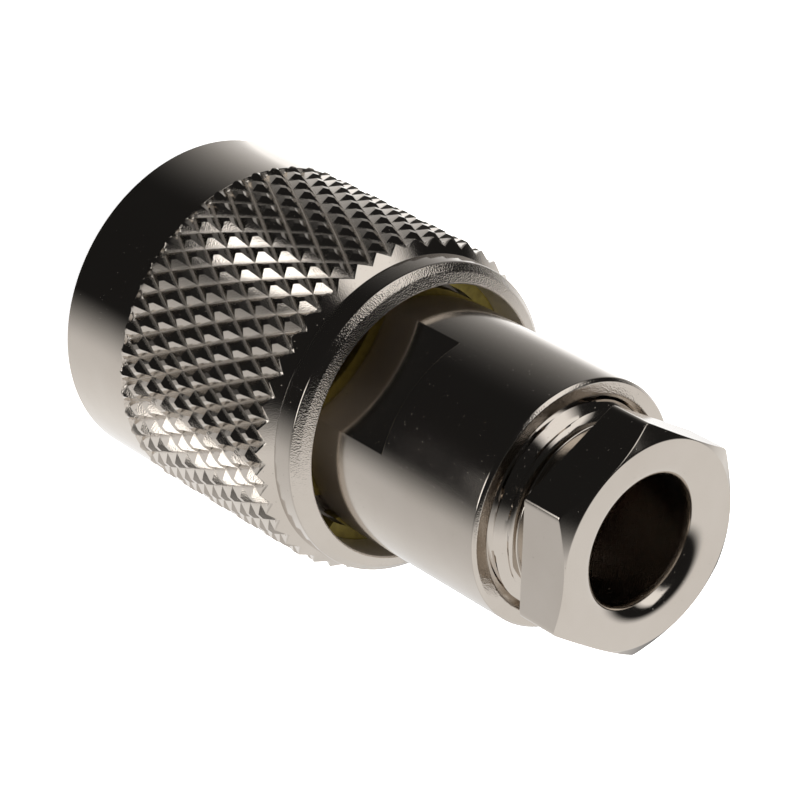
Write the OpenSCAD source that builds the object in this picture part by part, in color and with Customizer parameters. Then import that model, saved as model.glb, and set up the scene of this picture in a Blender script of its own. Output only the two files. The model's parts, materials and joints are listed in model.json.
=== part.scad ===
// Threaded coaxial cable plug, clamp type: a diamond-knurled coupling nut turns on a slim body,
// and a hexagon clamp nut screws into the body's rear end and grips the cable.
// The plug stands on the coupling nut's front rim at z = 0, on the Z axis, with the cable end up.

/* [Coupling nut] */
// Clearance between the nut's rear bore and the body's flange
bore_clearance = 0.13; // [0.05:0.01:0.3]
// Wall of the plain front band, over the rear bore
band_wall = 1.3; // [1.1:0.02:1.6]
// Length of the plain front band
nut_band_len = 4.05; // [3:0.05:6]
// Wall of the knurl at its points, over the rear bore
knurl_wall = 1.38; // [1.2:0.01:1.8]
// Length of the knurl
knurl_len = 9.4; // [8:0.1:14]
// Depth of the knurl's grooves
knurl_depth = 0.34; // [0.2:0.02:0.4]
// Grooves around the knurl, in each of its two directions
groove_count = 45; // [30:1:60]
// Rows of points along the knurl
row_count = 10; // [6:1:14]
// Wall of the smooth collar behind the knurl, over the rear bore
collar_wall = 0.82; // [0.75:0.01:1.1]
// Length of the collar, with the cone in front of it and its chamfered lip
nut_collar_len = 1.75; // [1.6:0.05:3]
// Fall of the collar's rear lip from the bore out to its chamfer
lip_fall = 0.18; // [0.1:0.01:0.25]
// Minor diameter of the 7/16-28 coupling thread, drawn as a plain bore
coupling_thread_d = 10.2; // [10.1:0.02:10.3]
// Distance from the coupling thread's end to the front gasket
thread_runout = 0.1; // [0.05:0.05:1]
// Clearance between the body's spigot and the turned relief behind the thread
relief_clearance = 0.65; // [0.3:0.05:0.7]

/* [Retaining ring] */
// Clearance between the ring and the body
ring_clearance = 0.15; // [0.1:0.01:0.3]
// Depth of the ring's hold in the nut's wall
ring_hold = 0.32; // [0.25:0.01:0.4]
// Thickness of the ring
ring_t = 0.8; // [0.5:0.05:1]
// Distance from the nut's rear face to the back of the ring
ring_inset = 1.9; // [1:0.05:2.2]

/* [Body] */
// Diameter of the body behind the nut
body_d = 10.7; // [10:0.1:12]
// Length of the body behind the nut
body_tail = 9; // [8.6:0.1:14]
// Height of the flange that the nut turns on
flange_step = 0.55; // [0.4:0.01:0.7]
// Length of the flange
flange_len = 2.3; // [1.5:0.1:2.4]
// Wall of the front spigot over the outer contact's root
spigot_wall = 0.75; // [0.5:0.05:0.8]
// Depth of the body's front face inside the nut
front_depth = 7.3; // [7.2:0.05:8]
// Depth of each of the two wrench flats
flat_depth = 0.75; // [0.4:0.05:0.8]
// Length of the flats behind the nut
flats_len = 3.2; // [2:0.1:5]
// Distance from the flange to the start of the flats
flats_start = 0.4; // [0.2:0.1:0.6]
// Turn of the flats about the axis
flats_turn = -90; // [-90:1:90]
// Depth of the braid clamp's seat inside the nut
clamp_seat_depth = 0.8; // [0.4:0.1:1.2]
// Wall of the body over the clamp nut's thread
thread_wall = 0.85; // [0.6:0.05:1]
// Step from the clamp nut's thread down to the bore for the braid clamp and its gasket
clamp_bore_step = 0.75; // [0.6:0.05:1]
// Pitch of the clamp nut's thread
clamp_thread_pitch = 0.75; // [0.5:0.05:1]
// Widening of the chamfered rear mouth over the thread
mouth_margin = 0.2; // [0.1:0.05:0.3]

/* [Contacts] */
// Diameter of the slotted outer contact
outer_contact_d = 8.12; // [8.08:0.02:8.14]
// Wall of the slotted outer contact
outer_contact_wall = 0.53; // [0.45:0.01:0.6]
// Depth of the outer contact's tip inside the nut
outer_contact_tip = 2; // [1:0.1:3]
// Diameter of the outer contact's root in the body
contact_root_d = 8.5; // [8.3:0.1:8.7]
// Length of the outer contact's root
contact_root_len = 4.2; // [3:0.1:4.5]
// Number of slots in the outer contact
slot_count = 4; // [3:1:6]
// Width of a slot
slot_w = 0.5; // [0.3:0.05:0.8]
// Length of the solid ring between the slots and the root
slot_end_len = 0.5; // [0.3:0.1:1]
// Diameter of the centre pin
pin_d = 1.37; // [1.3:0.01:1.4]
// Depth of the centre pin's tip inside the nut
pin_tip = 2.4; // [2:0.1:3]
// Diameter of the flat on the centre pin's tip
pin_flat_d = 0.7; // [0.4:0.05:0.9]
// Diameter of the centre contact's stem in the front insulator
stem_d = 2.2; // [1.8:0.05:2.4]
// Diameter of the centre contact's shoulder
shoulder_d = 3; // [2.6:0.1:3.4]
// Length of the centre contact's shoulder
shoulder_len = 0.5; // [0.3:0.05:0.8]
// Diameter of the centre contact's solder cup
cup_d = 2; // [1.8:0.1:2.2]
// Diameter of the hole in the solder cup
cup_hole_d = 1; // [0.8:0.05:1.2]
// Length of the solder cup behind the rear insulator
cup_proud = 0.85; // [0.6:0.05:1.2]
// Diameter of the solder cup's side hole
solder_hole_d = 0.5; // [0.3:0.05:0.55]

/* [Insulators and seals] */
// Depth of the front insulator's sleeve inside the nut
sleeve_tip = 2.6; // [2.2:0.1:3]
// Depth of the front insulator's floor inside the nut
sleeve_floor = 6.6; // [6:0.1:7]
// Inner diameter of the sleeve round the pin
sleeve_d = 4.9; // [4.6:0.1:5.2]
// Length of the rear insulator
rear_insulator_len = 1.9; // [1.6:0.1:2.4]
// Thickness of the front gasket
front_gasket_t = 0.55; // [0.4:0.05:0.6]
// Length of the clamp gasket
clamp_gasket_len = 2.3; // [1.5:0.1:3]
// Inner diameter of the clamp gasket
clamp_gasket_d = 5; // [4.6:0.1:5]
// Length of the clamp gasket that stands out of its bore
gasket_proud = 0.35; // [0.1:0.05:0.5]

/* [Cable clamp] */
// Length of the braid clamp's nose
braid_nose_len = 1.5; // [1:0.1:2]
// Length of the braid clamp's collar
braid_collar_len = 0.8; // [0.6:0.1:1.2]
// Wall of the braid clamp's nose at its tip
braid_nose_wall = 0.8; // [0.5:0.1:1]
// Room left for the braid in front of the nose
braid_room = 0.2; // [0.1:0.05:0.4]
// Bore of the braid clamp
braid_bore_d = 3.2; // [2.8:0.1:3.4]
// Thickness of the clamp washer
washer_t = 0.5; // [0.4:0.05:0.7]
// Clearance between the clamp washer and the cable bore
washer_clearance = 0.3; // [0.2:0.05:0.4]
// Distance across the clamp nut's flats
hex_across = 9; // [8.8:0.1:10]
// Length of the hexagon
hex_len = 2.4; // [2:0.1:4]
// Angle of the bevel on the hexagon's rear corners
hex_bevel_angle = 34; // [20:1:40]
// Depth of the neck behind the thread
neck_depth = 0.65; // [0.5:0.05:0.8]
// Length of the neck
neck_len = 1; // [0.6:0.1:1.2]
// Bore for the cable
cable_bore_d = 5.4; // [5.2:0.1:5.8]
// Radius of the rounded rim of the cable bore
rim_r = 0.8; // [0.4:0.05:0.9]
// Gap that is left to tighten between the hexagon and the body
clamp_gap = 1.8; // [0.5:0.1:2.2]
// Turn of the hexagon about the axis
hex_turn = -13; // [-30:1:30]

/* [Fits] */
// Gap between two pieces that are seated on each other
seat_gap = 0.03; // [0.02:0.01:0.05]
// Gap between faces that slide or turn on each other
play = 0.05; // [0.04:0.01:0.1]
// Room for the coupling nut to float along the body
nut_float = 0.6; // [0.3:0.1:0.8]
// Small turned chamfer on the edges
edge = 0.3; // [0.15:0.05:0.35]

/* [Hidden] */
$fn = 96;
over = 1;

// Stations along the axis
knurl_end = nut_band_len + knurl_len;
nut_len = knurl_end + nut_collar_len;
ring_back = nut_len - ring_inset;
ring_front = ring_back - ring_t;
flange_back = ring_front - play;
flange_front = flange_back - flange_len;
nut_shoulder = flange_front - nut_float;
coupling_thread_end = front_depth - front_gasket_t - thread_runout;
root_front = front_depth - front_gasket_t - play;
root_back = root_front + contact_root_len;
clamp_seat = nut_len - clamp_seat_depth;
rear_insulator_back = clamp_seat - play;
rear_insulator_front = rear_insulator_back - rear_insulator_len;
front_insulator_back = rear_insulator_front - play;
stem_front = sleeve_floor - 2 * play;
shoulder_back = rear_insulator_front + shoulder_len;
cup_back = rear_insulator_back + cup_proud;
braid_front = clamp_seat + braid_room;
collar_front = braid_front + braid_nose_len;
collar_back = collar_front + braid_collar_len;
gasket_front = collar_back + play;
gasket_back = gasket_front + clamp_gasket_len;
thread_front = gasket_back - gasket_proud;
body_back = nut_len + body_tail;
flats_front = flange_back + flats_start;
flats_back = nut_len + flats_len;
washer_front = gasket_back + clamp_gap + play;
clamp_front = washer_front + washer_t + play;
hex_front = body_back + clamp_gap;
neck_front = hex_front - neck_len;
hex_back = hex_front + hex_len;

// Radii that follow from the sizes above
body_r = body_d / 2;
spigot_r = contact_root_d / 2 + spigot_wall;
flange_r = body_r + flange_step;
nut_bore_r = flange_r + bore_clearance;
nut_relief_r = spigot_r + relief_clearance;
band_r = nut_bore_r + band_wall;
collar_r = nut_bore_r + collar_wall;
ring_inner_r = body_r + ring_clearance;
ring_outer_r = nut_bore_r + ring_hold;
knurl_r = nut_bore_r + knurl_wall;
knurl_root_r = knurl_r - knurl_depth;
knurl_overlap = 0.2;
knurl_inner_r = collar_r - knurl_overlap;
grooves = round(groove_count);
row_len = knurl_len / round(row_count);
// One more row runs into the collar, where the rear cone ends it
knurl_rows = round(row_count) + 1;
bore_r = outer_contact_d / 2 - outer_contact_wall;
insulator_r = bore_r - seat_gap;
stem_hole_r = stem_d / 2 + seat_gap;
// The pitch line of a 60 degree thread lies this share of the pitch inside its crest
pitch_line = 0.3248;
thread_r = body_r - thread_wall;
clamp_bore_r = thread_r - clamp_bore_step;
neck_r = thread_r - neck_depth;
thread_pitch_r = thread_r - pitch_line * clamp_thread_pitch;
thread_bore_r = thread_pitch_r + play / 2;
thread_shank_r = thread_pitch_r - play / 2;
hex_corner_r = hex_across / 2 / cos(30);

// A closed half profile of [radius, station] points, turned about the axis
module turned(points) {
    rotate_extrude() polygon(points);
}

// A plain tube between two stations
module tube(outer_r, inner_r, from, to) {
    turned([[inner_r, from], [outer_r, from], [outer_r, to], [inner_r, to]]);
}

// One point of the knurl: the grooves cross where row and column add up to an even number,
// and a tooth stands where they add up to an odd one
function knurl_point(row, column) =
    let (r = (row + column) % 2 == 0 ? knurl_root_r : knurl_r)
    let (a = 180 * column / grooves)
    [r * cos(a), r * sin(a), nut_band_len + row_len * row];

// One point of the knurl band's hidden inner wall
function knurl_inner_point(row, column) =
    let (a = 180 * column / grooves)
    [knurl_inner_r * cos(a), knurl_inner_r * sin(a), nut_band_len + row_len * row];

// A band of four-sided teeth between two crossing sets of V grooves
module knurl_band() {
    columns = 2 * grooves;
    rows = knurl_rows;
    inner = (rows + 1) * columns;
    function at(row, column) = row * columns + column % columns;
    function in(end, column) = inner + end * columns + column % columns;
    points = concat(
        [for (row = [0:rows], column = [0:columns - 1]) knurl_point(row, column)],
        [for (row = [0, rows], column = [0:columns - 1]) knurl_inner_point(row, column)]);
    teeth = [for (row = [0:rows - 1], c = [0:columns - 1], half = [0, 1])
        (row + c) % 2 == 0
            ? (half == 0
                ? [at(row, c), at(row + 1, c), at(row + 1, c + 1)]
                : [at(row, c), at(row + 1, c + 1), at(row, c + 1)])
            : (half == 0
                ? [at(row, c), at(row + 1, c), at(row, c + 1)]
                : [at(row + 1, c), at(row + 1, c + 1), at(row, c + 1)])];
    front = [for (c = [0:columns - 1]) [at(0, c), at(0, c + 1), in(0, c + 1), in(0, c)]];
    back = [for (c = [0:columns - 1]) [at(rows, c + 1), at(rows, c), in(1, c), in(1, c + 1)]];
    wall = [for (c = [0:columns - 1]) [in(0, c), in(0, c + 1), in(1, c + 1), in(1, c)]];
    polyhedron(points = points, faces = concat(teeth, front, back, wall));
}

// The blank that the knurl is rolled on, with a cone down to the collar at its rear end
module knurl_blank() {
    blank_r = knurl_r + over;
    cone_top = knurl_end + collar_r + edge;
    front = nut_band_len - over;
    turned([[0, front], [blank_r, front], [blank_r, cone_top - blank_r], [0, cone_top]]);
}

module coupling_nut() {
    minor_r = coupling_thread_d / 2;
    groove_r = ring_outer_r + play;
    lead_in = 0.65;
    color("lightgray") union() {
        turned([
            [minor_r + lead_in, 0], [band_r - edge / 2, 0], [band_r, edge / 2],
            [band_r, nut_band_len], [collar_r, nut_band_len + band_r - collar_r],
            [collar_r, nut_len - lip_fall - edge], [collar_r - edge, nut_len - lip_fall],
            [nut_bore_r, nut_len],
            [nut_bore_r, ring_back + play], [groove_r, ring_back + play],
            [groove_r, ring_front - play], [nut_bore_r, ring_front - play],
            [nut_bore_r, nut_shoulder], [nut_relief_r, nut_shoulder],
            [nut_relief_r, coupling_thread_end], [minor_r, coupling_thread_end],
            [minor_r, lead_in]]);
        intersection() {
            knurl_band();
            knurl_blank();
        }
    }
}

// Open snap ring in the nut's groove, behind the body's flange
module retaining_ring() {
    gap_w = 2;
    color("goldenrod") difference() {
        tube(ring_outer_r, ring_inner_r, ring_front, ring_back);
        translate([0, -gap_w / 2, ring_front - over])
            cube([2 * ring_outer_r, gap_w, ring_t + 2 * over]);
    }
}

module plug_body() {
    rim_chamfer = thread_r + mouth_margin - thread_bore_r;
    color("lightgray") difference() {
        turned([
            [contact_root_d / 2 + seat_gap, front_depth], [spigot_r - edge, front_depth],
            [spigot_r, front_depth + edge], [spigot_r, flange_front],
            [flange_r, flange_front], [flange_r, flange_back], [body_r, flange_back],
            [body_r, body_back - edge / 2], [body_r - edge / 2, body_back],
            [thread_bore_r + rim_chamfer, body_back], [thread_bore_r, body_back - rim_chamfer],
            [thread_bore_r, thread_front], [clamp_bore_r, thread_front],
            [clamp_bore_r, clamp_seat], [bore_r, clamp_seat],
            [bore_r, root_back + seat_gap], [contact_root_d / 2 + seat_gap, root_back + seat_gap]]);
        for (side = [0, 180]) rotate([0, 0, flats_turn + side])
            translate([body_r - flat_depth, -body_r, flats_front])
                cube([body_r, body_d, flats_back - flats_front]);
    }
}

// Springy tube with slots, which the socket's barrel slides over
module outer_contact() {
    outer_r = outer_contact_d / 2;
    root_r = contact_root_d / 2;
    slots_end = root_front - slot_end_len;
    color("gainsboro") difference() {
        turned([
            [bore_r, outer_contact_tip], [outer_r - edge, outer_contact_tip],
            [outer_r, outer_contact_tip + edge], [outer_r, root_front], [root_r, root_front],
            [root_r, root_back], [bore_r, root_back]]);
        for (i = [0:slot_count - 1]) rotate([0, 0, 360 * (i + 0.5) / slot_count])
            translate([0, -slot_w / 2, outer_contact_tip - over])
                cube([contact_root_d, slot_w, slots_end - outer_contact_tip + over]);
    }
}

// Flat ring that seals the socket's rim against the body
module front_gasket() {
    color("brown")
        tube(spigot_r - seat_gap, contact_root_d / 2 + seat_gap,
            front_depth - front_gasket_t, front_depth);
}

// Long insulator with an open sleeve round the pin
module front_insulator() {
    color("white") turned([
        [sleeve_d / 2, sleeve_tip], [insulator_r, sleeve_tip], [insulator_r, front_insulator_back],
        [stem_hole_r, front_insulator_back], [stem_hole_r, sleeve_floor], [sleeve_d / 2, sleeve_floor]]);
}

// Pin with a shoulder between the two insulators and a cup for the cable's core
module centre_contact() {
    pin_r = pin_d / 2;
    flat_r = pin_flat_d / 2;
    color("gold") difference() {
        turned([
            [0, pin_tip], [flat_r, pin_tip], [pin_r, pin_tip + 2 * (pin_r - flat_r)],
            [pin_r, stem_front], [stem_d / 2, stem_front],
            [stem_d / 2, rear_insulator_front], [shoulder_d / 2, rear_insulator_front],
            [shoulder_d / 2, shoulder_back], [cup_d / 2, shoulder_back], [cup_d / 2, cup_back],
            [cup_hole_d / 2, cup_back], [cup_hole_d / 2, shoulder_back], [0, shoulder_back]]);
        translate([0, 0, rear_insulator_back + cup_proud / 2]) rotate([0, 90, 0])
            cylinder(d = solder_hole_d, h = cup_d);
    }
}

// Short insulator that holds the centre contact's shoulder
module rear_insulator() {
    cup_bore_r = cup_d / 2 + seat_gap;
    recess_r = shoulder_d / 2 + seat_gap;
    recess_back = shoulder_back + seat_gap;
    color("white") turned([
        [recess_r, rear_insulator_front], [insulator_r, rear_insulator_front],
        [insulator_r, rear_insulator_back], [cup_bore_r, rear_insulator_back],
        [cup_bore_r, recess_back], [recess_r, recess_back]]);
}

// Ferrule with a tapered nose that the cable's braid folds over
module braid_clamp() {
    bore = braid_bore_d / 2;
    nose_r = bore + braid_nose_wall;
    flange = clamp_bore_r - seat_gap;
    color("silver") turned([
        [bore, braid_front], [nose_r, braid_front], [nose_r + edge, collar_front],
        [flange, collar_front], [flange, collar_back], [bore + edge, collar_back],
        [bore, collar_back - edge]]);
}

// Soft ring that is squeezed onto the cable's jacket, with a V groove in its rear face
module clamp_gasket() {
    outer = clamp_bore_r - seat_gap;
    inner = clamp_gasket_d / 2;
    middle = (outer + inner) / 2;
    groove = (outer - inner) / 4;
    color("saddlebrown") turned([
        [inner, gasket_front], [outer, gasket_front], [outer, gasket_back],
        [middle + groove, gasket_back], [middle, gasket_back - 2 * groove],
        [middle - groove, gasket_back], [inner, gasket_back]]);
}

// Loose washer that keeps the turning clamp nut off the gasket
module clamp_washer() {
    inner = cable_bore_d / 2 + washer_clearance;
    color("silver")
        tube(thread_bore_r - 2 * play, inner, washer_front, washer_front + washer_t);
}

// Hexagon with bevelled rear corners, on a neck and a threaded shank
module clamp_nut() {
    bore = cable_bore_d / 2;
    bevel_r = hex_across / 2;
    blank_r = hex_corner_r + over;
    slope = tan(hex_bevel_angle);
    color("lightgray") difference() {
        union() {
            turned([
                [0, clamp_front], [thread_shank_r - edge, clamp_front],
                [thread_shank_r, clamp_front + edge], [thread_shank_r, neck_front],
                [neck_r, neck_front], [neck_r, hex_front + hex_len / 2],
                [0, hex_front + hex_len / 2]]);
            intersection() {
                translate([0, 0, hex_front]) rotate([0, 0, hex_turn])
                    cylinder(r = hex_corner_r, h = hex_len, $fn = 6);
                turned([
                    [0, hex_front - over], [blank_r, hex_front - over],
                    [blank_r, hex_back - (blank_r - bevel_r) * slope],
                    [0, hex_back + bevel_r * slope]]);
            }
        }
        rotate_extrude() difference() {
            translate([0, clamp_front - over]) square([bore + rim_r, hex_back]);
            translate([bore, clamp_front - 2 * over])
                square([rim_r + over, hex_back - clamp_front + 2 * over - rim_r]);
            translate([bore + rim_r, hex_back - rim_r]) circle(rim_r);
        }
    }
}

coupling_nut();
retaining_ring();
plug_body();
outer_contact();
front_gasket();
front_insulator();
centre_contact();
rear_insulator();
braid_clamp();
clamp_gasket();
clamp_washer();
clamp_nut();
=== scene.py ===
# %% [markdown]
# # A clamp-type coaxial cable plug, turned from brass and plated with nickel
# The part comes in from CAD as a fixed frame, and this lesson dresses it. Almost every piece of
# such a plug is turned on a lathe, so almost every surface here is one idea: a closed profile
# carried round the axis. The profile may change with the angle, and that gives the diamond
# knurl, the wrench flats, the hexagon and the threads as well.

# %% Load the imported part
import json

import bpy
import numpy as np
from mathutils import Matrix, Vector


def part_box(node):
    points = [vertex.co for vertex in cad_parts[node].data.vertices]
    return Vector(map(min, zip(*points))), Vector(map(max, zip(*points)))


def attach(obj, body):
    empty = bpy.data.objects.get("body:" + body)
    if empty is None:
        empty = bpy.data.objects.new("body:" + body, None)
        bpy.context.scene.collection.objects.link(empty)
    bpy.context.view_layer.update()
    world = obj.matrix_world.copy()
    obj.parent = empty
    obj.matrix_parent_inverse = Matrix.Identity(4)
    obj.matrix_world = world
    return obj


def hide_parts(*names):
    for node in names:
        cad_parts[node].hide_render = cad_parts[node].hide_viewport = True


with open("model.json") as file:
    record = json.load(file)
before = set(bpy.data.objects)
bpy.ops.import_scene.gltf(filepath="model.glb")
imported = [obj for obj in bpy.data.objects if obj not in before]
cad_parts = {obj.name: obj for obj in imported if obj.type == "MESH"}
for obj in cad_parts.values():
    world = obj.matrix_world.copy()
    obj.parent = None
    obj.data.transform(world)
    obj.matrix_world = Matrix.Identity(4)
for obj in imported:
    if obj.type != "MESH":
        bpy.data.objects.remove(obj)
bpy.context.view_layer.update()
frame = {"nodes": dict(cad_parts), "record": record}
MM = 0.001
print("nodes:", sorted(frame["nodes"]))

# %% [markdown]
# The CAD solids give the sizes that matter, so they are read from the frame and not typed again:
# how far each turned piece reaches along the axis, and how wide it is. All sizes below are in
# millimetres, and a mesh is turned to metres only when it is made.


# %% Sizes from the frame
def reach(node):
    """Lowest and highest station of a CAD node on the axis, and its largest radius, in mm."""
    low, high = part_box(node)
    return low.z / MM, high.z / MM, max(high.x, high.y) / MM


_, nut_back, knurl_r = reach("coupling_nut")
body_front, body_back, flange_r = reach("plug_body")
shank_front, hex_back, _ = reach("clamp_nut")
ring_front, ring_back, ring_r = reach("retaining_ring")
print(f"nut to {nut_back:.2f}, body {body_front:.2f} to {body_back:.2f}, hexagon to {hex_back:.2f} mm")

# %% [markdown]
# A lathe leaves no perfectly sharp edge, and the thin bright lines along the edges are what makes
# polished metal look real. So each corner of a profile is cut back a little along both of its
# edges, and a quadratic curve joins the two cuts. A support row on either side keeps the flat
# stretches flat in the shading. Corners that nobody sees stay plain. In the lists of corners below,
# the third number of a corner is its cut. All the angles of a profile are worked out at once, as
# arrays.

# %% Profiles with softened corners
CURVE = np.linspace(0, 1, 6)[:, None, None]


def row(radius, height, angle):
    """One row of (radius, height) pairs round the axis. Either value may change with the angle."""
    return np.stack(np.broadcast_arrays(radius, height, angle)[:2], -1).astype(float)


def softened(before, corner, after, cut):
    """Rows that round a corner: (1-t)^2 a + 2t(1-t) corner + t^2 b, where a and b lie at the
    distance cut from the corner towards the rows before and after it, with a support row twice
    as far out on each side. The cut is never over a fifth of either edge."""
    to_before, to_after = before - corner, after - corner
    length_before = np.linalg.norm(to_before, axis=-1, keepdims=True)
    length_after = np.linalg.norm(to_after, axis=-1, keepdims=True)
    cut = np.minimum(cut, 0.2 * np.minimum(length_before, length_after))
    step_before, step_after = cut * to_before / length_before, cut * to_after / length_after
    a, b = corner + step_before, corner + step_after
    curve = (1 - CURVE) ** 2 * a + 2 * CURVE * (1 - CURVE) * corner + CURVE**2 * b
    return np.concatenate([[a + step_before], curve, [b + step_after]])


def profile(angle, parts):
    """Rows of a closed profile. Each part is a corner (radius, height), a corner with a cut
    (radius, height, cut), or an array of ready rows, such as a knurl or a thread."""
    points = [p if isinstance(p, np.ndarray) else row(p[0], p[1], angle)[None] for p in parts]
    rows = []
    for i, (part, point) in enumerate(zip(parts, points)):
        after = points[(i + 1) % len(points)][0]
        plain = isinstance(part, np.ndarray) or len(part) == 2
        rows.append(point if plain else softened(points[i - 1][-1], point[0], after, part[2]))
    return np.concatenate(rows)


# %% [markdown]
# Rows of points become a mesh when each point is joined to the next one round the axis and to the
# next row of the profile, and both directions close on themselves, like the skin of a ring. Each
# four-sided cell is split into two triangles. The knurl chooses the diagonal, so that its grooves
# run along edges. Each point also carries two numbers for the finish: the grain, where the metal
# was pressed or rolled and came out pebbled, and the dullness, deep in the bores and along the
# grooves of the knurl, where plating stays thin and grey.

# %% Meshes from rows
SHARP = np.radians(30)


def ring_mesh(name, angle, rows, grain=0.0, dull=0.0, other_diagonal=None):
    """The closed surface x = r cos(a), y = r sin(a), z = h over the rows' (r, h), as triangles
    that face outwards: if the signed volume comes out negative, every face is turned round."""
    radius, height = rows[..., 0], rows[..., 1]
    points = np.stack([radius * np.cos(angle), radius * np.sin(angle), height], -1).reshape(-1, 3)
    index = np.arange(radius.size).reshape(radius.shape)
    up, on = np.roll(index, -1, 0), np.roll(index, -1, 1)
    both = np.roll(up, -1, 1)
    swap = np.zeros(radius.shape, bool) if other_diagonal is None else other_diagonal
    first = np.where(swap[..., None], np.stack([index, on, up], -1), np.stack([index, on, both], -1))
    second = np.where(swap[..., None], np.stack([on, both, up], -1), np.stack([index, both, up], -1))
    faces = np.concatenate([first.reshape(-1, 3), second.reshape(-1, 3)])
    corners = points[faces]
    if np.einsum("ij,ij->", corners[:, 0], np.cross(corners[:, 1], corners[:, 2])) < 0:
        faces = faces[:, ::-1]
    mesh = bpy.data.meshes.new(name)
    mesh.vertices.add(len(points))
    mesh.vertices.foreach_set("co", (points * MM).ravel())
    mesh.loops.add(faces.size)
    mesh.loops.foreach_set("vertex_index", faces.ravel())
    mesh.polygons.add(len(faces))
    mesh.polygons.foreach_set("loop_start", np.arange(0, faces.size, 3))
    mesh.polygons.foreach_set("use_smooth", np.ones(len(faces), bool))
    mesh.update(calc_edges=True)
    mesh.validate()
    mesh.set_sharp_from_angle(angle=SHARP)
    for title, values in {"grain": grain, "dull": dull}.items():
        filled = np.broadcast_to(values, radius.shape).astype(np.float32)
        mesh.attributes.new(title, "FLOAT", "POINT").data.foreach_set("value", filled.ravel())
    piece = bpy.data.objects.new(name, mesh)
    bpy.context.scene.collection.objects.link(piece)
    print(f"{name}: {len(points)} points, {len(faces)} triangles")
    return piece


def turn(count, extra=()):
    """Even angles round the axis, and extra ones where an edge has to lie on a column."""
    even = np.arange(count) * 2 * np.pi / count
    return np.unique(np.round(np.concatenate([even, np.mod(extra, 2 * np.pi)]), 9))


def tooth_wave(phase):
    """A triangle wave: 0 at every whole number, 1 half way between two."""
    return 1 - np.abs(2 * (phase % 1) - 1)


# %% [markdown]
# ## The coupling nut
# A knurling tool rolls two sets of V grooves into the blank, one leaning left and one right. What
# stays between them are four-sided points in a diamond pattern. The lower of two triangle waves,
# one along each set, is just that surface, and cutting it off below its highest value gives the
# small flat tops that the blank leaves. The grooves run out on a steep cone at the plain front
# band, and the rear end is turned to a cone, which cuts the last points off in a zigzag. Extra rows
# lie close together where the two cones cut the pattern.

# %% Knurl
GROOVES = 45
KNURL_ROWS = 10
CELL_STEPS = 4
knurl_front, knurl_back = 4.05, 13.45
knurl_slope, knurl_top = 0.4, 0.75
band_r, collar_r = 7.33, 6.85
run_out_slope, cone_rise, least_rise = 3, 0.3, 0.005
nut_angle = turn(2 * GROOVES * CELL_STEPS)
row_len = (knurl_back - knurl_front) / KNURL_ROWS
cone_back = knurl_back + cone_rise


def knurl_wave(angle, height):
    """The lower of the two triangle waves that run along column + row and column - row: 0 along
    the bottoms of the grooves, 1 at the points between them."""
    column = angle * GROOVES / np.pi
    step = (height - knurl_front) / row_len
    return np.minimum(tooth_wave((column + step) / 2), tooth_wave((column - step) / 2))


def knurl(angle, height):
    """Radius of the knurl: the wave, cut off at the flat tops, times the slope, between the front
    and rear cones."""
    wave = knurl_wave(angle, height)
    front_cone = band_r - run_out_slope * (height - knurl_front)
    rear_cone = collar_r + np.maximum(cone_back - height, least_rise)
    below_top = np.maximum(knurl_top - wave, 0)
    return np.minimum(np.maximum(knurl_r - knurl_slope * below_top, front_cone), rear_cone)


steps = np.arange(1, KNURL_ROWS * CELL_STEPS) * row_len / CELL_STEPS
run_out_steps = np.linspace(0.02, 0.14, 5)
cone_steps = np.linspace(9.1, 9.68, 9)
all_steps = np.unique(np.concatenate([steps, run_out_steps, cone_steps]).round(3))
knurl_height = knurl_front + all_steps[:, None]
knurl_rows = row(knurl(nut_angle, knurl_height), knurl_height, nut_angle)
print("knurl rows:", len(knurl_rows))

# %% [markdown]
# The threads are triangle waves too, along height minus pitch times the turn, which makes them
# right-handed. A cone cuts off both ends: a chamfer on a shank, a countersink in a bore. Where two
# threads mesh, both follow the same wave, one a little inside the other, so they stay clear of
# each other however far the nut is screwed in.


# %% Threads
def thread(angle, low, high, pitch, minor_r, depth, inside, rows_a_pitch=10):
    """Rows of a thread from one station to another: the minor radius plus the depth times a
    triangle wave of height / pitch - angle / a full turn. At both ends a cone of 45 degrees brings
    the wave to 1, the major radius, inside a bore, and to 0, the minor radius, on a shank."""
    count = int((high - low) / pitch * rows_a_pitch)
    height = np.linspace(low, high, count)[:, None]
    wave = tooth_wave(height / pitch - angle / (2 * np.pi))
    cone = np.minimum(height - low, high - height) / depth
    wave = np.maximum(wave, 1 - cone) if inside else np.minimum(wave, cone)
    return row(minor_r + depth * wave, height, angle)


coupling_pitch = 25.4 / 28
coupling_minor_r, coupling_depth = 5.1, 0.45
nut_countersink, thread_end = 0.2, 6.65
coupling_thread = thread(
    nut_angle, nut_countersink, thread_end, coupling_pitch, coupling_minor_r, coupling_depth, inside=True
)[::-1]
print("coupling thread rows:", len(coupling_thread))

# %% [markdown]
# The nut's profile goes up its outside and down its bore. It turns on a flange of the body, between
# a shoulder and the snap ring, and the ring sits in a groove of the bore.

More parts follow.
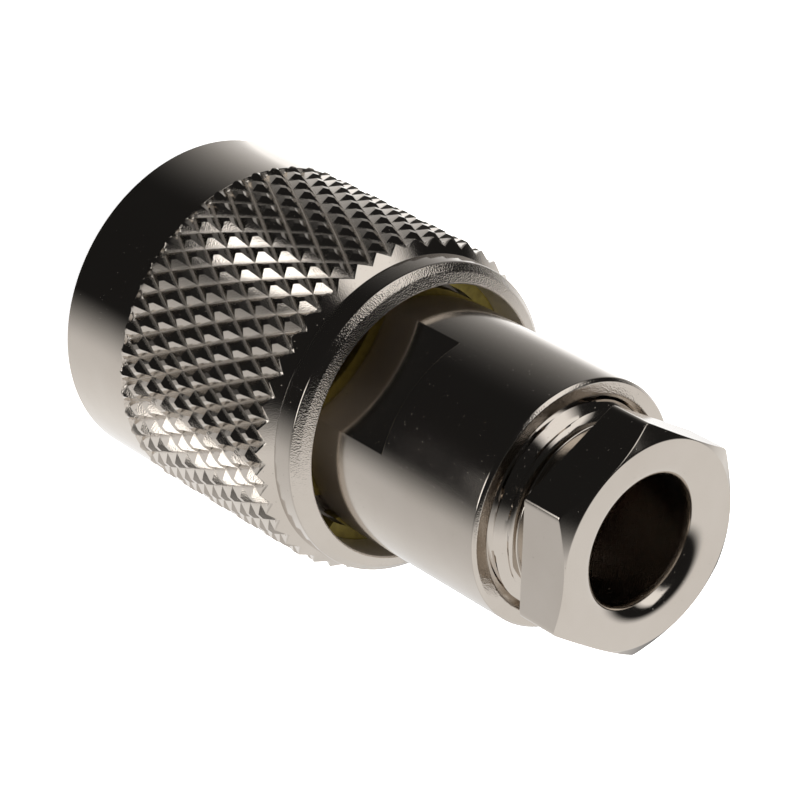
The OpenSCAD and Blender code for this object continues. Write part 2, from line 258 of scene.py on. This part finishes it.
# %% Coupling nut
rear_bore_r, relief_r, ring_room = 6.03, 5.65, 0.05
flange_len, nut_play = 2.3, 0.6
flange_back = ring_front - ring_room
flange_front = flange_back - flange_len
nut_shoulder = flange_front - nut_play
groove_r, groove_front, groove_back = ring_r + ring_room, ring_front - ring_room, ring_back + ring_room
band_chamfer, collar_chamfer, lip_fall, bore_bevel_r, bore_bevel_h = 0.2, 0.3, 0.18, 0.07, 0.06
chamfer_back = nut_back - lip_fall
nut_parts = [
    (coupling_minor_r + coupling_depth + nut_countersink, 0, 0.03),
    (band_r - band_chamfer, 0, 0.06),
    (band_r, band_chamfer, 0.12),
    (band_r, knurl_front, 0.02),
    knurl_rows,
    (collar_r, cone_back, 0.04),
    (collar_r, chamfer_back - collar_chamfer, 0.06),
    (collar_r - collar_chamfer, chamfer_back, 0.06),
    (rear_bore_r + bore_bevel_r, nut_back, 0.03),
    (rear_bore_r, nut_back - bore_bevel_h, 0.02),
    (rear_bore_r, groove_back),
    (groove_r, groove_back),
    (groove_r, groove_front),
    (rear_bore_r, groove_front),
    (rear_bore_r, nut_shoulder),
    (relief_r, nut_shoulder),
    (relief_r, thread_end),
    coupling_thread,
]
nut_rows = profile(nut_angle, nut_parts)
print("coupling nut rows:", len(nut_rows))

# %% [markdown]
# The collar's chamfer and lip are pebbled, and the knurl a little. The bore is dull, and so are the
# bottoms of the knurl's grooves, which draws them as thin grey lines. A cell whose row and column
# add up to an odd number takes the other diagonal, and then every groove lies on edges. Where a
# height or radius decides which face a point is on, a small margin keeps the rounded edges apart.

# %% Finish numbers and diagonals of the nut
knurl_grain, groove_width, groove_dull = 0.12, 0.2, 0.5
nut_r, nut_h = nut_rows[..., 0], nut_rows[..., 1]
on_lip = (nut_h > chamfer_back - collar_chamfer + 0.02) & (nut_r > rear_bore_r + 0.03)
on_knurl = (nut_h > knurl_front + 0.01) & (nut_h < cone_back) & (nut_r > collar_r)
in_bore = (nut_r < groove_r + 0.05) & (nut_h > nut_shoulder - 0.1) & ~on_lip
near_bottom = np.clip(1 - knurl_wave(nut_angle, nut_h) / groove_width, 0, 1)
in_groove = on_knurl * (nut_h < knurl_back) * near_bottom
nut_grain = on_lip + knurl_grain * on_knurl
nut_dull = in_bore + groove_dull * in_groove
cell_row = np.floor((nut_h[:, :1] - knurl_front) / row_len + 1e-6)
cell_column = np.floor(nut_angle * GROOVES / np.pi + 1e-6)
leaning = (cell_row + cell_column) % 2 == 1
coupling_nut = ring_mesh("coupling_nut_turned", nut_angle, nut_rows, nut_grain, nut_dull, leaning)
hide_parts("coupling_nut")
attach(coupling_nut, "coupling")

# %% [markdown]
# ## The body
# The body is a plain cylinder behind the nut, with two flats for a spanner. Seen from the end, a
# flat is a chord: its radius at an angle is its distance divided by the cosine of that angle. The
# edges of the flats get columns of their own, so that they come out straight and crisp.

# %% Body
body_r, spigot_r, flat_reach = 5.35, 5.0, 4.6
flat_margin, flats_back = 0.4, 18.4
flats_front = flange_back + flat_margin
flat_edge = np.arccos(flat_reach / body_r)
edge_width = np.radians(0.3)
beside_edge = np.array([-edge_width, 0, edge_width])
edges = np.add.outer(np.radians([-90, 90]), [-flat_edge, flat_edge])
body_columns = 240
body_angle = turn(body_columns, np.add.outer(edges, beside_edge).ravel())
least_sine = 0.1
flat_r = np.minimum(body_r, flat_reach / np.maximum(np.abs(np.sin(body_angle)), least_sine))
clamp_pitch, clamp_depth = 0.75, 0.4
mouth_minor_r, mouth_countersink = 4.081, 0.22
mouth_major_r = mouth_minor_r + clamp_depth
clamp_bore_r, body_bore_r, root_bore_r = 3.75, 3.53, 4.28
root_back, clamp_seat, thread_front = 10.93, 14.4, 18.9
mouth_thread = thread(
    body_angle, thread_front, body_back - mouth_countersink, clamp_pitch, mouth_minor_r, clamp_depth,
    inside=True,
)[::-1]
spigot_bevel, flat_run_out, end_bevel_r, end_bevel_h = 0.3, 0.04, 0.12, 0.15
body_parts = [
    (root_bore_r, body_front),
    (spigot_r - spigot_bevel, body_front),
    (spigot_r, body_front + spigot_bevel),
    (spigot_r, flange_front),
    (flange_r, flange_front),
    (flange_r, flange_back),
    (body_r, flange_back),
    (body_r, flats_front - flat_run_out, 0.02),
    (flat_r, flats_front, 0.02),
    (flat_r, flats_back - flat_run_out, 0.02),
    (body_r, flats_back, 0.02),
    (body_r, body_back - end_bevel_h, 0.05),
    (body_r - end_bevel_r, body_back, 0.05),
    (mouth_major_r + mouth_countersink, body_back, 0.04),
    mouth_thread,
    (clamp_bore_r, thread_front),
    (clamp_bore_r, clamp_seat),
    (body_bore_r, clamp_seat),
    (body_bore_r, root_back),
    (root_bore_r, root_back),
]
end_grain = 0.5
body_rows = profile(body_angle, body_parts)
body_grain = end_grain * (body_rows[..., 1] > body_back - 0.1)
body_dull = body_rows[..., 1] < flange_back + 0.02
plug_body = ring_mesh("plug_body_turned", body_angle, body_rows, body_grain, body_dull)
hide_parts("plug_body")
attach(plug_body, "plug")

# %% [markdown]
# ## The clamp nut
# Six flats round an axis are six chords, and the nearest one counts. A power mean of the three
# pairs of chords gives the same hexagon with corners that are very slightly worn. The bevel on
# the rear end is a cone, and where it meets the flats it leaves the six arcs that every turned
# nut has. In front of the hexagon are an undercut neck and the thread that screws into the body.

# %% Clamp nut
hex_across, hex_front, neck_front = 9.0, 26.0, 25.0
hex_turn = np.radians(17)
hex_worn = 90
bevel_slope, bevel_margin = np.tan(np.radians(34)), 0.04
bevel_r = hex_across / 2 - bevel_margin
thread_play, front_land, rear_land = 0.05, 0.05, 0.1
shank_minor_r = mouth_minor_r - thread_play
neck_r, cable_r, rim_r = 3.85, 2.7, 0.8
clamp_columns = 360
nut_turn = turn(clamp_columns)
chords = np.abs(np.cos(nut_turn[:, None] - hex_turn - np.pi / 3 * np.arange(3)))
hex_r = hex_across / 2 / (chords**hex_worn).sum(1) ** (1 / hex_worn)
bevel_height = hex_back - (hex_r - bevel_r) * bevel_slope
rim_angle = np.radians(np.linspace(90, 180, 13))[:, None]
rim_rows = row(
    cable_r + rim_r * (1 + np.cos(rim_angle)), hex_back - rim_r * (1 - np.sin(rim_angle)), nut_turn
)
shank_thread = thread(
    nut_turn, shank_front + front_land, neck_front - rear_land, clamp_pitch, shank_minor_r, clamp_depth,
    inside=False,
)
clamp_parts = [
    (cable_r, shank_front),
    (shank_minor_r, shank_front),
    shank_thread,
    (neck_r, neck_front, 0.12),
    (neck_r, hex_front, 0.12),
    (hex_r, hex_front, 0.03),
    (hex_r, bevel_height, 0.03),
    (bevel_r, hex_back, 0.04),
    rim_rows,
]
clamp_rows = profile(nut_turn, clamp_parts)
clamp_grain = clamp_rows[..., 0] < cable_r + 0.02
clamp_nut = ring_mesh("clamp_nut_turned", nut_turn, clamp_rows, clamp_grain)
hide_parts("clamp_nut")
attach(clamp_nut, "clamp")

# %% [markdown]
# ## Finishes
# Colours are written as sRGB hex values, as a paint chart gives them, and one function turns them
# into the linear values that the shader works with. A second small function adds a node with its
# settings and its links, so that each finish below reads as a short list. The node used most is the
# map range: its inputs are a value, the two values it goes between, and the two results for them.

# %% Colour and node helpers
SMOOTH = "SMOOTHSTEP"


def linear(hex_colour):
    """An sRGB hex colour as linear red, green, blue and a full alpha."""
    srgb = np.array([int(hex_colour[i : i + 2], 16) for i in (1, 3, 5)]) / 255
    low, high = srgb / 12.92, ((srgb + 0.055) / 1.055) ** 2.4
    return (*np.where(srgb <= 0.04045, low, high).tolist(), 1.0)


def add(tree, kind, inputs=(), **settings):
    """Adds a node, sets its properties, and fills its inputs with values or with links. The inputs
    are a list in the node's own order, or a dictionary by name. A node stands for its first output."""
    node = tree.nodes.new(kind)
    for name, value in settings.items():
        setattr(node, name, value)
    for socket, value in inputs.items() if isinstance(inputs, dict) else enumerate(inputs):
        source = value.outputs[0] if isinstance(value, bpy.types.Node) else value
        if isinstance(source, bpy.types.NodeSocket):
            tree.links.new(source, node.inputs[socket])
        else:
            node.inputs[socket].default_value = source
    return node


def finish(name, metallic, roughness):
    """A new material with a Principled shader, as (material, its node tree, the shader)."""
    material = bpy.data.materials.new(name)
    material.use_nodes = True
    shader = material.node_tree.nodes["Principled BSDF"]
    shader.inputs["Metallic"].default_value = metallic
    shader.inputs["Roughness"].default_value = roughness
    return material, material.node_tree, shader


# %% [markdown]
# Bright nickel plate is a mirror with a warm grey tint, and it shows what is under it. The tool
# marks of the lathe are rings on the end faces and lines round the cylinders. Both follow from
# one number, the height plus the distance from the axis, because one of the two is constant on
# either surface. The marks are drawn a few times coarser than real ones, so that they show. Small
# pits and dents from handling lie about in patches, and where the grain number is high, the metal
# is pebbled and scatters the light. Where the dullness is high, the plating is thin and looks like
# dull metal.

# %% Bright nickel plate
tool_mark, pebble, smudge, pit_spacing = 0.09, 0.065, 3.0, 0.26
nickel, tree, shader = finish("bright_nickel_plate_on_turned_brass", 1.0, 0.12)
place = add(tree, "ShaderNodeTexCoord").outputs["Object"]
pressed = add(tree, "ShaderNodeAttribute", attribute_name="grain").outputs["Fac"]
thin = add(tree, "ShaderNodeAttribute", attribute_name="dull").outputs["Fac"]
split = add(tree, "ShaderNodeSeparateXYZ", [place]).outputs
flat_place = add(tree, "ShaderNodeCombineXYZ", {"X": split["X"], "Y": split["Y"]})
off_axis = add(tree, "ShaderNodeVectorMath", [flat_place], operation="LENGTH").outputs["Value"]
along = add(tree, "ShaderNodeMath", [split["Z"], off_axis], operation="ADD")
mark_inputs = {"W": along, "Scale": 1 / (tool_mark * MM), "Detail": 2.0}
marks = add(tree, "ShaderNodeTexNoise", mark_inputs, noise_dimensions="1D")
clouds = add(tree, "ShaderNodeTexNoise", {"Vector": place, "Scale": 1 / (smudge * MM), "Detail": 4.0})
pebbles = add(tree, "ShaderNodeTexVoronoi", {"Vector": place, "Scale": 1 / (pebble * MM)})
pits = add(tree, "ShaderNodeTexVoronoi", {"Vector": place, "Scale": 1 / (pit_spacing * MM)})
print("patterns of", tool_mark, pebble, smudge, "and", pit_spacing, "mm")

# %% [markdown]
# The smudges move the roughness and the tint a little. Grain adds some roughness, and dullness adds
# more and takes half of the metal away. The bumps are laid over each other: tool marks first, then
# pebbles as far as the grain goes, then pits where the smudges are thick.

# %% Roughness, tint and bumps of the nickel
clean_rough, smudged_rough, grain_rough, dull_rough = 0.08, 0.14, 0.03, 0.3
smudge_ends, dull_metal = (0.3, 0.7), 0.5
rough = add(tree, "ShaderNodeMapRange", [clouds, *smudge_ends, clean_rough, smudged_rough])
rough = add(tree, "ShaderNodeMath", [pressed, grain_rough, rough], operation="MULTIPLY_ADD")
rough = add(tree, "ShaderNodeMath", [thin, dull_rough, rough], operation="MULTIPLY_ADD")
metal = add(tree, "ShaderNodeMapRange", [thin, 0.0, 1.0, 1.0, dull_metal])
tints = {"Factor": clouds, "A": linear("#CDC5BC"), "B": linear("#BFB6AB")}
tint = add(tree, "ShaderNodeMix", tints, data_type="RGBA")
tree.links.new(rough.outputs[0], shader.inputs["Roughness"])
tree.links.new(metal.outputs[0], shader.inputs["Metallic"])
tree.links.new(tint.outputs["Result"], shader.inputs["Base Color"])

mark_strength, pebble_strength, pit_strength = 0.025, 0.34, 0.8
mark_depth, pebble_depth, pit_depth = 0.01 * MM, 0.04 * MM, 0.04 * MM
pit_size, pit_patches = 0.09, (0.4, 0.66)
pit_shape = add(tree, "ShaderNodeMapRange", [pits, 0.0, pit_size, 0.0, 1.0], interpolation_type=SMOOTH)
pit_patch = add(tree, "ShaderNodeMapRange", [clouds, *pit_patches, 0.0, pit_strength])
pebble_patch = add(tree, "ShaderNodeMapRange", [pressed, 0.0, 1.0, 0.0, pebble_strength])
layers = [
    (marks, mark_strength, mark_depth),
    (pebbles, pebble_patch, pebble_depth),
    (pit_shape, pit_patch, pit_depth),
]
under = {}
for height, strength, depth in layers:
    bump_inputs = {"Height": height, "Strength": strength, "Distance": depth, **under}
    under = {"Normal": add(tree, "ShaderNodeBump", bump_inputs)}
tree.links.new(under["Normal"].outputs[0], shader.inputs["Normal"])
print("made", nickel.name)

# %% [markdown]
# The small pieces inside have finishes of their own. The snap ring is spring bronze, bare and
# yellow. The pin is gold plated. PTFE is a milky white plastic with a soft sheen, and the seals
# are dark red silicone rubber, which looks almost black in the shade of the bore.


# %% Bronze, gold, PTFE and silicone
def grained(name, metallic, light, dark, grain_mm, rough_low, rough_high, bump, depth_mm=0.02):
    """A finish whose colour and roughness wander between two values with a noise of a given
    grain, and whose surface is a little uneven with it."""
    material, tree, shader = finish(name, metallic, rough_low)
    place = add(tree, "ShaderNodeTexCoord").outputs["Object"]
    noise_inputs = {"Vector": place, "Scale": 1 / (grain_mm * MM), "Detail": 4.0}
    noise = add(tree, "ShaderNodeTexNoise", noise_inputs)
    tints = {"Factor": noise, "A": linear(light), "B": linear(dark)}
    tint = add(tree, "ShaderNodeMix", tints, data_type="RGBA")
    rough = add(tree, "ShaderNodeMapRange", [noise, 0.0, 1.0, rough_low, rough_high])
    uneven = add(tree, "ShaderNodeBump", {"Height": noise, "Strength": bump, "Distance": depth_mm * MM})
    tree.links.new(tint.outputs["Result"], shader.inputs["Base Color"])
    tree.links.new(rough.outputs[0], shader.inputs["Roughness"])
    tree.links.new(uneven.outputs[0], shader.inputs["Normal"])
    return material


bronze = grained(
    "bare_phosphor_bronze_strip", metallic=0.6, light="#B0A04E", dark="#7D6D34",
    grain_mm=0.3, rough_low=0.35, rough_high=0.5, bump=0.2,
)
gold = grained(
    "gold_plate_on_turned_brass", metallic=1.0, light="#F2CE78", dark="#E6BC5E",
    grain_mm=0.5, rough_low=0.12, rough_high=0.2, bump=0.05,
)
ptfe = grained(
    "turned_ptfe", metallic=0.0, light="#F1F0EC", dark="#E4E3DE",
    grain_mm=0.6, rough_low=0.38, rough_high=0.5, bump=0.15,
)
silicone = grained(
    "moulded_red_silicone", metallic=0.0, light="#4A120C", dark="#380B08",
    grain_mm=0.3, rough_low=0.5, rough_high=0.65, bump=0.2,
)
print("made", bronze.name, gold.name, ptfe.name, silicone.name)

# %% Give every piece its finish
finishes = {"nickel": nickel, "bronze": bronze, "gold": gold, "ptfe": ptfe, "silicone": silicone}
slots = {s["node"]: s["material_slot"] for s in frame["record"]["subparts"]}
for node, piece in frame["nodes"].items():
    piece.data.materials.clear()
    piece.data.materials.append(finishes[slots[node]])
for piece in (coupling_nut, plug_body, clamp_nut):
    piece.data.materials.append(nickel)
print("finished", len(slots), "nodes and 3 turned pieces")

# %% [markdown]
# ## Studio
# A mirror shows the room, so a photographer of polished metal builds the room out of cards and
# sheets. The picture is taken from above and in front, and the camera is rolled, so the plug lies
# slantwise in the picture although it stands on the floor.

# %% Camera
camera_place = np.array([16.82, -106.90, 110.49])
camera_right = np.array([-0.5699, 0.5008, 0.6514])
camera_up = np.array([-0.8131, -0.4572, -0.3600])
camera_back = np.array([0.1175, -0.7347, 0.6679])
camera = bpy.data.objects.new("camera", bpy.data.cameras.new("camera"))
camera.data.sensor_width = 36.0
camera.data.lens = 157.185
camera.data.clip_start = 0.001
turned_to = np.eye(4)
turned_to[:3] = np.stack([camera_right, camera_up, camera_back, camera_place * MM], 1)
camera.matrix_world = Matrix(turned_to.tolist())
bpy.context.scene.collection.objects.link(camera)
bpy.context.scene.camera = camera
print("camera at", camera_place.tolist(), "mm")

# %% [markdown]
# The plug stands on white paper in white surroundings. An open sheet over a range of angles makes
# the paper, and later the cards and strips too. A lit paper would need strong lamps, so it glows a
# little instead, but only for the rays that show the background. The surroundings give the soft
# light from all sides, a little weaker than they look, which keeps some shade in the bores.

# %% Floor and surroundings
FLOOR_R, INNER_R = 600.0, 0.01
FULL_TURN = np.linspace(0, 2 * np.pi, 97)


def sheet(name, angle, rows, material):
    """An open sheet x = r cos(a), y = r sin(a), z = h over a range of angles and (r, h) rows in mm."""
    radius, height = np.array(rows, float).T[:, :, None]
    points = np.stack(
        np.broadcast_arrays(radius * np.cos(angle), radius * np.sin(angle), height), -1
    )
    index = np.arange(points.size // 3).reshape(points.shape[:2])
    cells = np.stack([index[:-1, :-1], index[:-1, 1:], index[1:, 1:], index[1:, :-1]], -1)
    mesh = bpy.data.meshes.new(name)
    mesh.from_pydata((points * MM).reshape(-1, 3).tolist(), [], cells.reshape(-1, 4).tolist())
    mesh.materials.append(material)
    piece = bpy.data.objects.new(name, mesh)
    bpy.context.scene.collection.objects.link(piece)
    return piece


def seen_as_background(tree):
    """1 for the rays that show the background: camera, glossy and transmission rays."""
    path = add(tree, "ShaderNodeLightPath").outputs
    seen, mirrored, through = path["Is Camera Ray"], path["Is Glossy Ray"], path["Is Transmission Ray"]
    either = add(tree, "ShaderNodeMath", [seen, mirrored], operation="MAXIMUM")
    return add(tree, "ShaderNodeMath", [either, through], operation="MAXIMUM")


white_paper, tree, shader = finish("white_paper", 0.0, 0.9)
shader.inputs["Base Color"].default_value = linear("#F4F4F2")
shader.inputs["Emission Color"].default_value = (1.0, 1.0, 1.0, 1.0)
paper_glow, sky_light = 0.8, 0.85
lit = add(tree, "ShaderNodeMath", [seen_as_background(tree), paper_glow], operation="MULTIPLY")
tree.links.new(lit.outputs[0], shader.inputs["Emission Strength"])
sheet("floor", FULL_TURN, [(INNER_R, 0), (FLOOR_R, 0)], white_paper)

world = bpy.data.worlds.new("white_surroundings")
bpy.context.scene.world = world
world.use_nodes = True
tree = world.node_tree
sky = tree.nodes["Background"]
sky_level = add(tree, "ShaderNodeMapRange", [seen_as_background(tree), 0.0, 1.0, sky_light, 1.0])
tree.links.new(sky_level.outputs[0], sky.inputs["Strength"])
sky.inputs["Color"].default_value = (1.0, 1.0, 1.0, 1.0)
print("floor radius", FLOOR_R, "mm")

# %% [markdown]
# The plug doesn't mirror the white paper. A card lies round it that glows and that only reflections see,
# so what the metal mirrors there is a painted reflection, mostly dark. On its right the card glows
# bright, a painted reflection of a light table, and on its left it glows paler, a painted reflection
# of a lit backdrop, most of all close to the plug. A ray that leaves a cylinder of radius R at the angle
# d from the front lands on the card at the angle d * (2 - R / distance) round the axis. The paint
# divides by that, so the edges of the dark part run straight up the cylinders. Right behind the
# plug the card is dark again, where its two sides meet.


# %% Sheets that glow
def glow_paint(name):
    """A material that only glows, as (material, its node tree, its emission node)."""
    material = bpy.data.materials.new(name)
    material.use_nodes = True
    tree = material.node_tree
    tree.nodes.remove(tree.nodes["Principled BSDF"])
    glow = add(tree, "ShaderNodeEmission")
    tree.links.new(glow.outputs[0], tree.nodes["Material Output"].inputs["Surface"])
    return material, tree, glow


def only_reflected(piece):
    """Hides a sheet from everything but mirror reflections."""
    piece.visible_camera = piece.visible_diffuse = piece.visible_shadow = False


def angle_from(tree, place, middle):
    """The angle of a place round the axis, measured from a middle direction, both in radians."""
    ahead = {"Vector": place, "Angle": -middle}
    turned = add(tree, "ShaderNodeVectorRotate", ahead, rotation_type="Z_AXIS")
    split = add(tree, "ShaderNodeSeparateXYZ", [turned]).outputs
    return add(tree, "ShaderNodeMath", [split["Y"], split["X"]], operation="ARCTAN2")


# %% Where a reflection on the card comes from
CARD_R, CARD_H = 400.0, 0.02
front_angle = np.radians(278.9)
near, far = 10 * MM, 26 * MM
# The card's glow paints the reflections round the plug: dark, a light table and a lit backdrop.
card_paint, tree, glow = glow_paint("graded_reflection_glow")
place = add(tree, "ShaderNodeTexCoord").outputs["Object"]
side = angle_from(tree, place, front_angle)
off_axis = add(tree, "ShaderNodeVectorMath", [place], operation="LENGTH").outputs["Value"]
mirror_r = add(tree, "ShaderNodeMapRange", [off_axis, near, far, band_r * MM, body_r * MM])
share = add(tree, "ShaderNodeMath", [mirror_r, off_axis], operation="DIVIDE")
spread = add(tree, "ShaderNodeMath", [2.0, share], operation="SUBTRACT")
leaving = add(tree, "ShaderNodeMath", [side, spread], operation="DIVIDE")
print("card spreads reflections from", near / MM, "to", far / MM, "mm")

# %% Levels of the card
dark, table_light, table_sheen, backdrop_glow, brightest = 0.016, 0.66, 0.24, 0.8, 1.45
table_edges, sheen_edges = np.radians([17, 37]), np.radians([30, 65])
pale_edges, glow_edges, pale_power = np.radians([-24, -80]), np.radians([-66, -84]), 2.2
behind_edges = np.radians([150, 180])
right_gains, left_gains, left_near, left_far = (1.2, 1.0), (1.5, 0.8), 9 * MM, 22 * MM
# The table and its sheen are a painted reflection of a light table; the pale part and the backdrop are a
# painted reflection of a lit backdrop.
table_inputs = [leaving, *table_edges, 0.0, table_light]
table = add(tree, "ShaderNodeMapRange", table_inputs, interpolation_type=SMOOTH)
sheen = add(tree, "ShaderNodeMapRange", [leaving, *sheen_edges, 0.0, table_sheen])
right = add(tree, "ShaderNodeMath", [table, sheen], operation="ADD")
right_gain = add(tree, "ShaderNodeMapRange", [off_axis, near, far, *right_gains])
right = add(tree, "ShaderNodeMath", [right, right_gain], operation="MULTIPLY")
pale = add(tree, "ShaderNodeMapRange", [leaving, *pale_edges, 0.0, 1.0])
pale = add(tree, "ShaderNodeMath", [pale, pale_power], operation="POWER")
backdrop_inputs = [leaving, *glow_edges, 0.0, backdrop_glow]
backdrop = add(tree, "ShaderNodeMapRange", backdrop_inputs, interpolation_type=SMOOTH)
left = add(tree, "ShaderNodeMath", [pale, backdrop], operation="ADD")
left_gain = add(tree, "ShaderNodeMapRange", [off_axis, left_near, left_far, *left_gains])
left = add(tree, "ShaderNodeMath", [left, left_gain], operation="MULTIPLY")
left = add(tree, "ShaderNodeMath", [left, brightest], operation="MINIMUM")
far_round = add(tree, "ShaderNodeMath", [side], operation="ABSOLUTE")
behind_inputs = [far_round, *behind_edges, 1.0, 0.0]
in_front = add(tree, "ShaderNodeMapRange", behind_inputs, interpolation_type=SMOOTH)
level = add(tree, "ShaderNodeMath", [left, right], operation="ADD")
level = add(tree, "ShaderNodeMath", [level, in_front], operation="MULTIPLY")
level = add(tree, "ShaderNodeMath", [level, dark], operation="ADD")
tree.links.new(level.outputs[0], glow.inputs["Strength"])
# The card is seen only in reflections, as a painted reflection.
only_reflected(sheet("painted_reflection_card", FULL_TURN, [(INNER_R, CARD_H), (CARD_R, CARD_H)], card_paint))
print("dark card", CARD_R, "mm round the plug")

# %% [markdown]
# Above the card a glowing dome, seen only in reflections, stands for the room: it is painted light on
# the table's side and dark on the other, a painted reflection. Chamfers, rims and end faces look up, so
# they mirror this part. Two glowing strips, also seen only in reflections, add the small hard glints as
# painted highlights: one stands high on the dark side and glints on the chamfer of the collar, and one
# lies low in front and is caught by the facets of the knurl.

# %% Room and strip lights
light_side = np.array([0.585, 0.811, 0.0])
room_light, room_edges = 1.0, (-0.12, 0.38)
# The room is a glowing dome that only reflections see, painted light on one side and dark on the other.
room_paint, tree, glow = glow_paint("room_painted_light_and_dark")
place = add(tree, "ShaderNodeTexCoord").outputs["Object"]
light_step = light_side / (CARD_R * MM)
towards = add(tree, "ShaderNodeVectorMath", [place, light_step], operation="DOT_PRODUCT").outputs["Value"]
room_inputs = [towards, *room_edges, dark, room_light]
lighter = add(tree, "ShaderNodeMapRange", room_inputs, interpolation_type=SMOOTH)
tree.links.new(lighter.outputs[0], glow.inputs["Strength"])
rise = np.radians(np.linspace(0, 89.9, 24))
room_rows = CARD_R * np.stack([np.cos(rise), np.sin(rise)], -1)
only_reflected(sheet("room", FULL_TURN, room_rows, room_paint))


def strip_light(name, middle, width, rows, brightness, near_end, ramp_len=12):
    """A strip over a range of angles round the axis, in degrees, along (r, h) rows in mm, that glows only
    for reflections, as a painted highlight. It grows from dark to its full brightness over some mm from
    the near end, and fades towards its sides."""
    paint, tree, glow = glow_paint(name + "_glow")
    place = add(tree, "ShaderNodeTexCoord").outputs["Object"]
    aside = angle_from(tree, place, np.radians(middle))
    off_middle = add(tree, "ShaderNodeMath", [aside], operation="ABSOLUTE")
    away = add(tree, "ShaderNodeVectorMath", [place], operation="LENGTH").outputs["Value"]
    ramp_ends = near_end * MM, (near_end + ramp_len) * MM
    ramp = add(tree, "ShaderNodeMapRange", [away, *ramp_ends, 0.0, brightness])
    soft_ends = np.radians(width / 4), np.radians(width / 2)
    soft = add(tree, "ShaderNodeMapRange", [off_middle, *soft_ends, 1.0, 0.0])
    level = add(tree, "ShaderNodeMath", [ramp, soft], operation="MULTIPLY")
    tree.links.new(level.outputs[0], glow.inputs["Strength"])
    angle = np.radians(np.linspace(middle - width / 2, middle + width / 2, 9))
    only_reflected(sheet(name, angle, rows, paint))


# Both strips are painted highlights: glowing sheets that only reflections see.
high_r, high_rise = 350, np.radians(np.linspace(2, 52, 9))
high_rows = high_r * np.stack([np.cos(high_rise), np.sin(high_rise)], -1)
strip_light("high_strip", middle=208, width=56, rows=high_rows, brightness=1.3, near_end=100)
strip_light("low_strip", middle=305, width=32, rows=[(35, 0.1), (125, 0.1)], brightness=3.0, near_end=35)
print("room radius", CARD_R, "mm, two strip lights")

# %% [markdown]
# Two softboxes light what isn't a mirror: the paper, the ring and the insides. A lamp can be hidden
# from mirror reflections, so the metal shows only the card, the room and the strips.


# %% Lamps
def softbox(name, place, size, watts):
    """A square area lamp at a place in mm that faces the middle of the plug."""
    lamp = bpy.data.lights.new(name, "AREA")
    lamp.size = size * MM
    lamp.energy = watts
    holder = bpy.data.objects.new(name, lamp)
    place = np.array(place, float)
    back = place - np.array([0, 0, hex_back / 2])
    back /= np.linalg.norm(back)
    right = np.cross([0, 0, 1], back)
    right /= np.linalg.norm(right)
    pose = np.eye(4)
    pose[:3] = np.stack([right, np.cross(back, right), back, place * MM], 1)
    holder.matrix_world = Matrix(pose.tolist())
    holder.visible_glossy = False
    bpy.context.scene.collection.objects.link(holder)


softbox("key_softbox", (-120, -60, 220), size=160, watts=0.25)
softbox("fill_softbox", (115, 132, 140), size=160, watts=0.5)
bpy.context.scene.view_settings.view_transform = "Standard"
print("two softboxes")
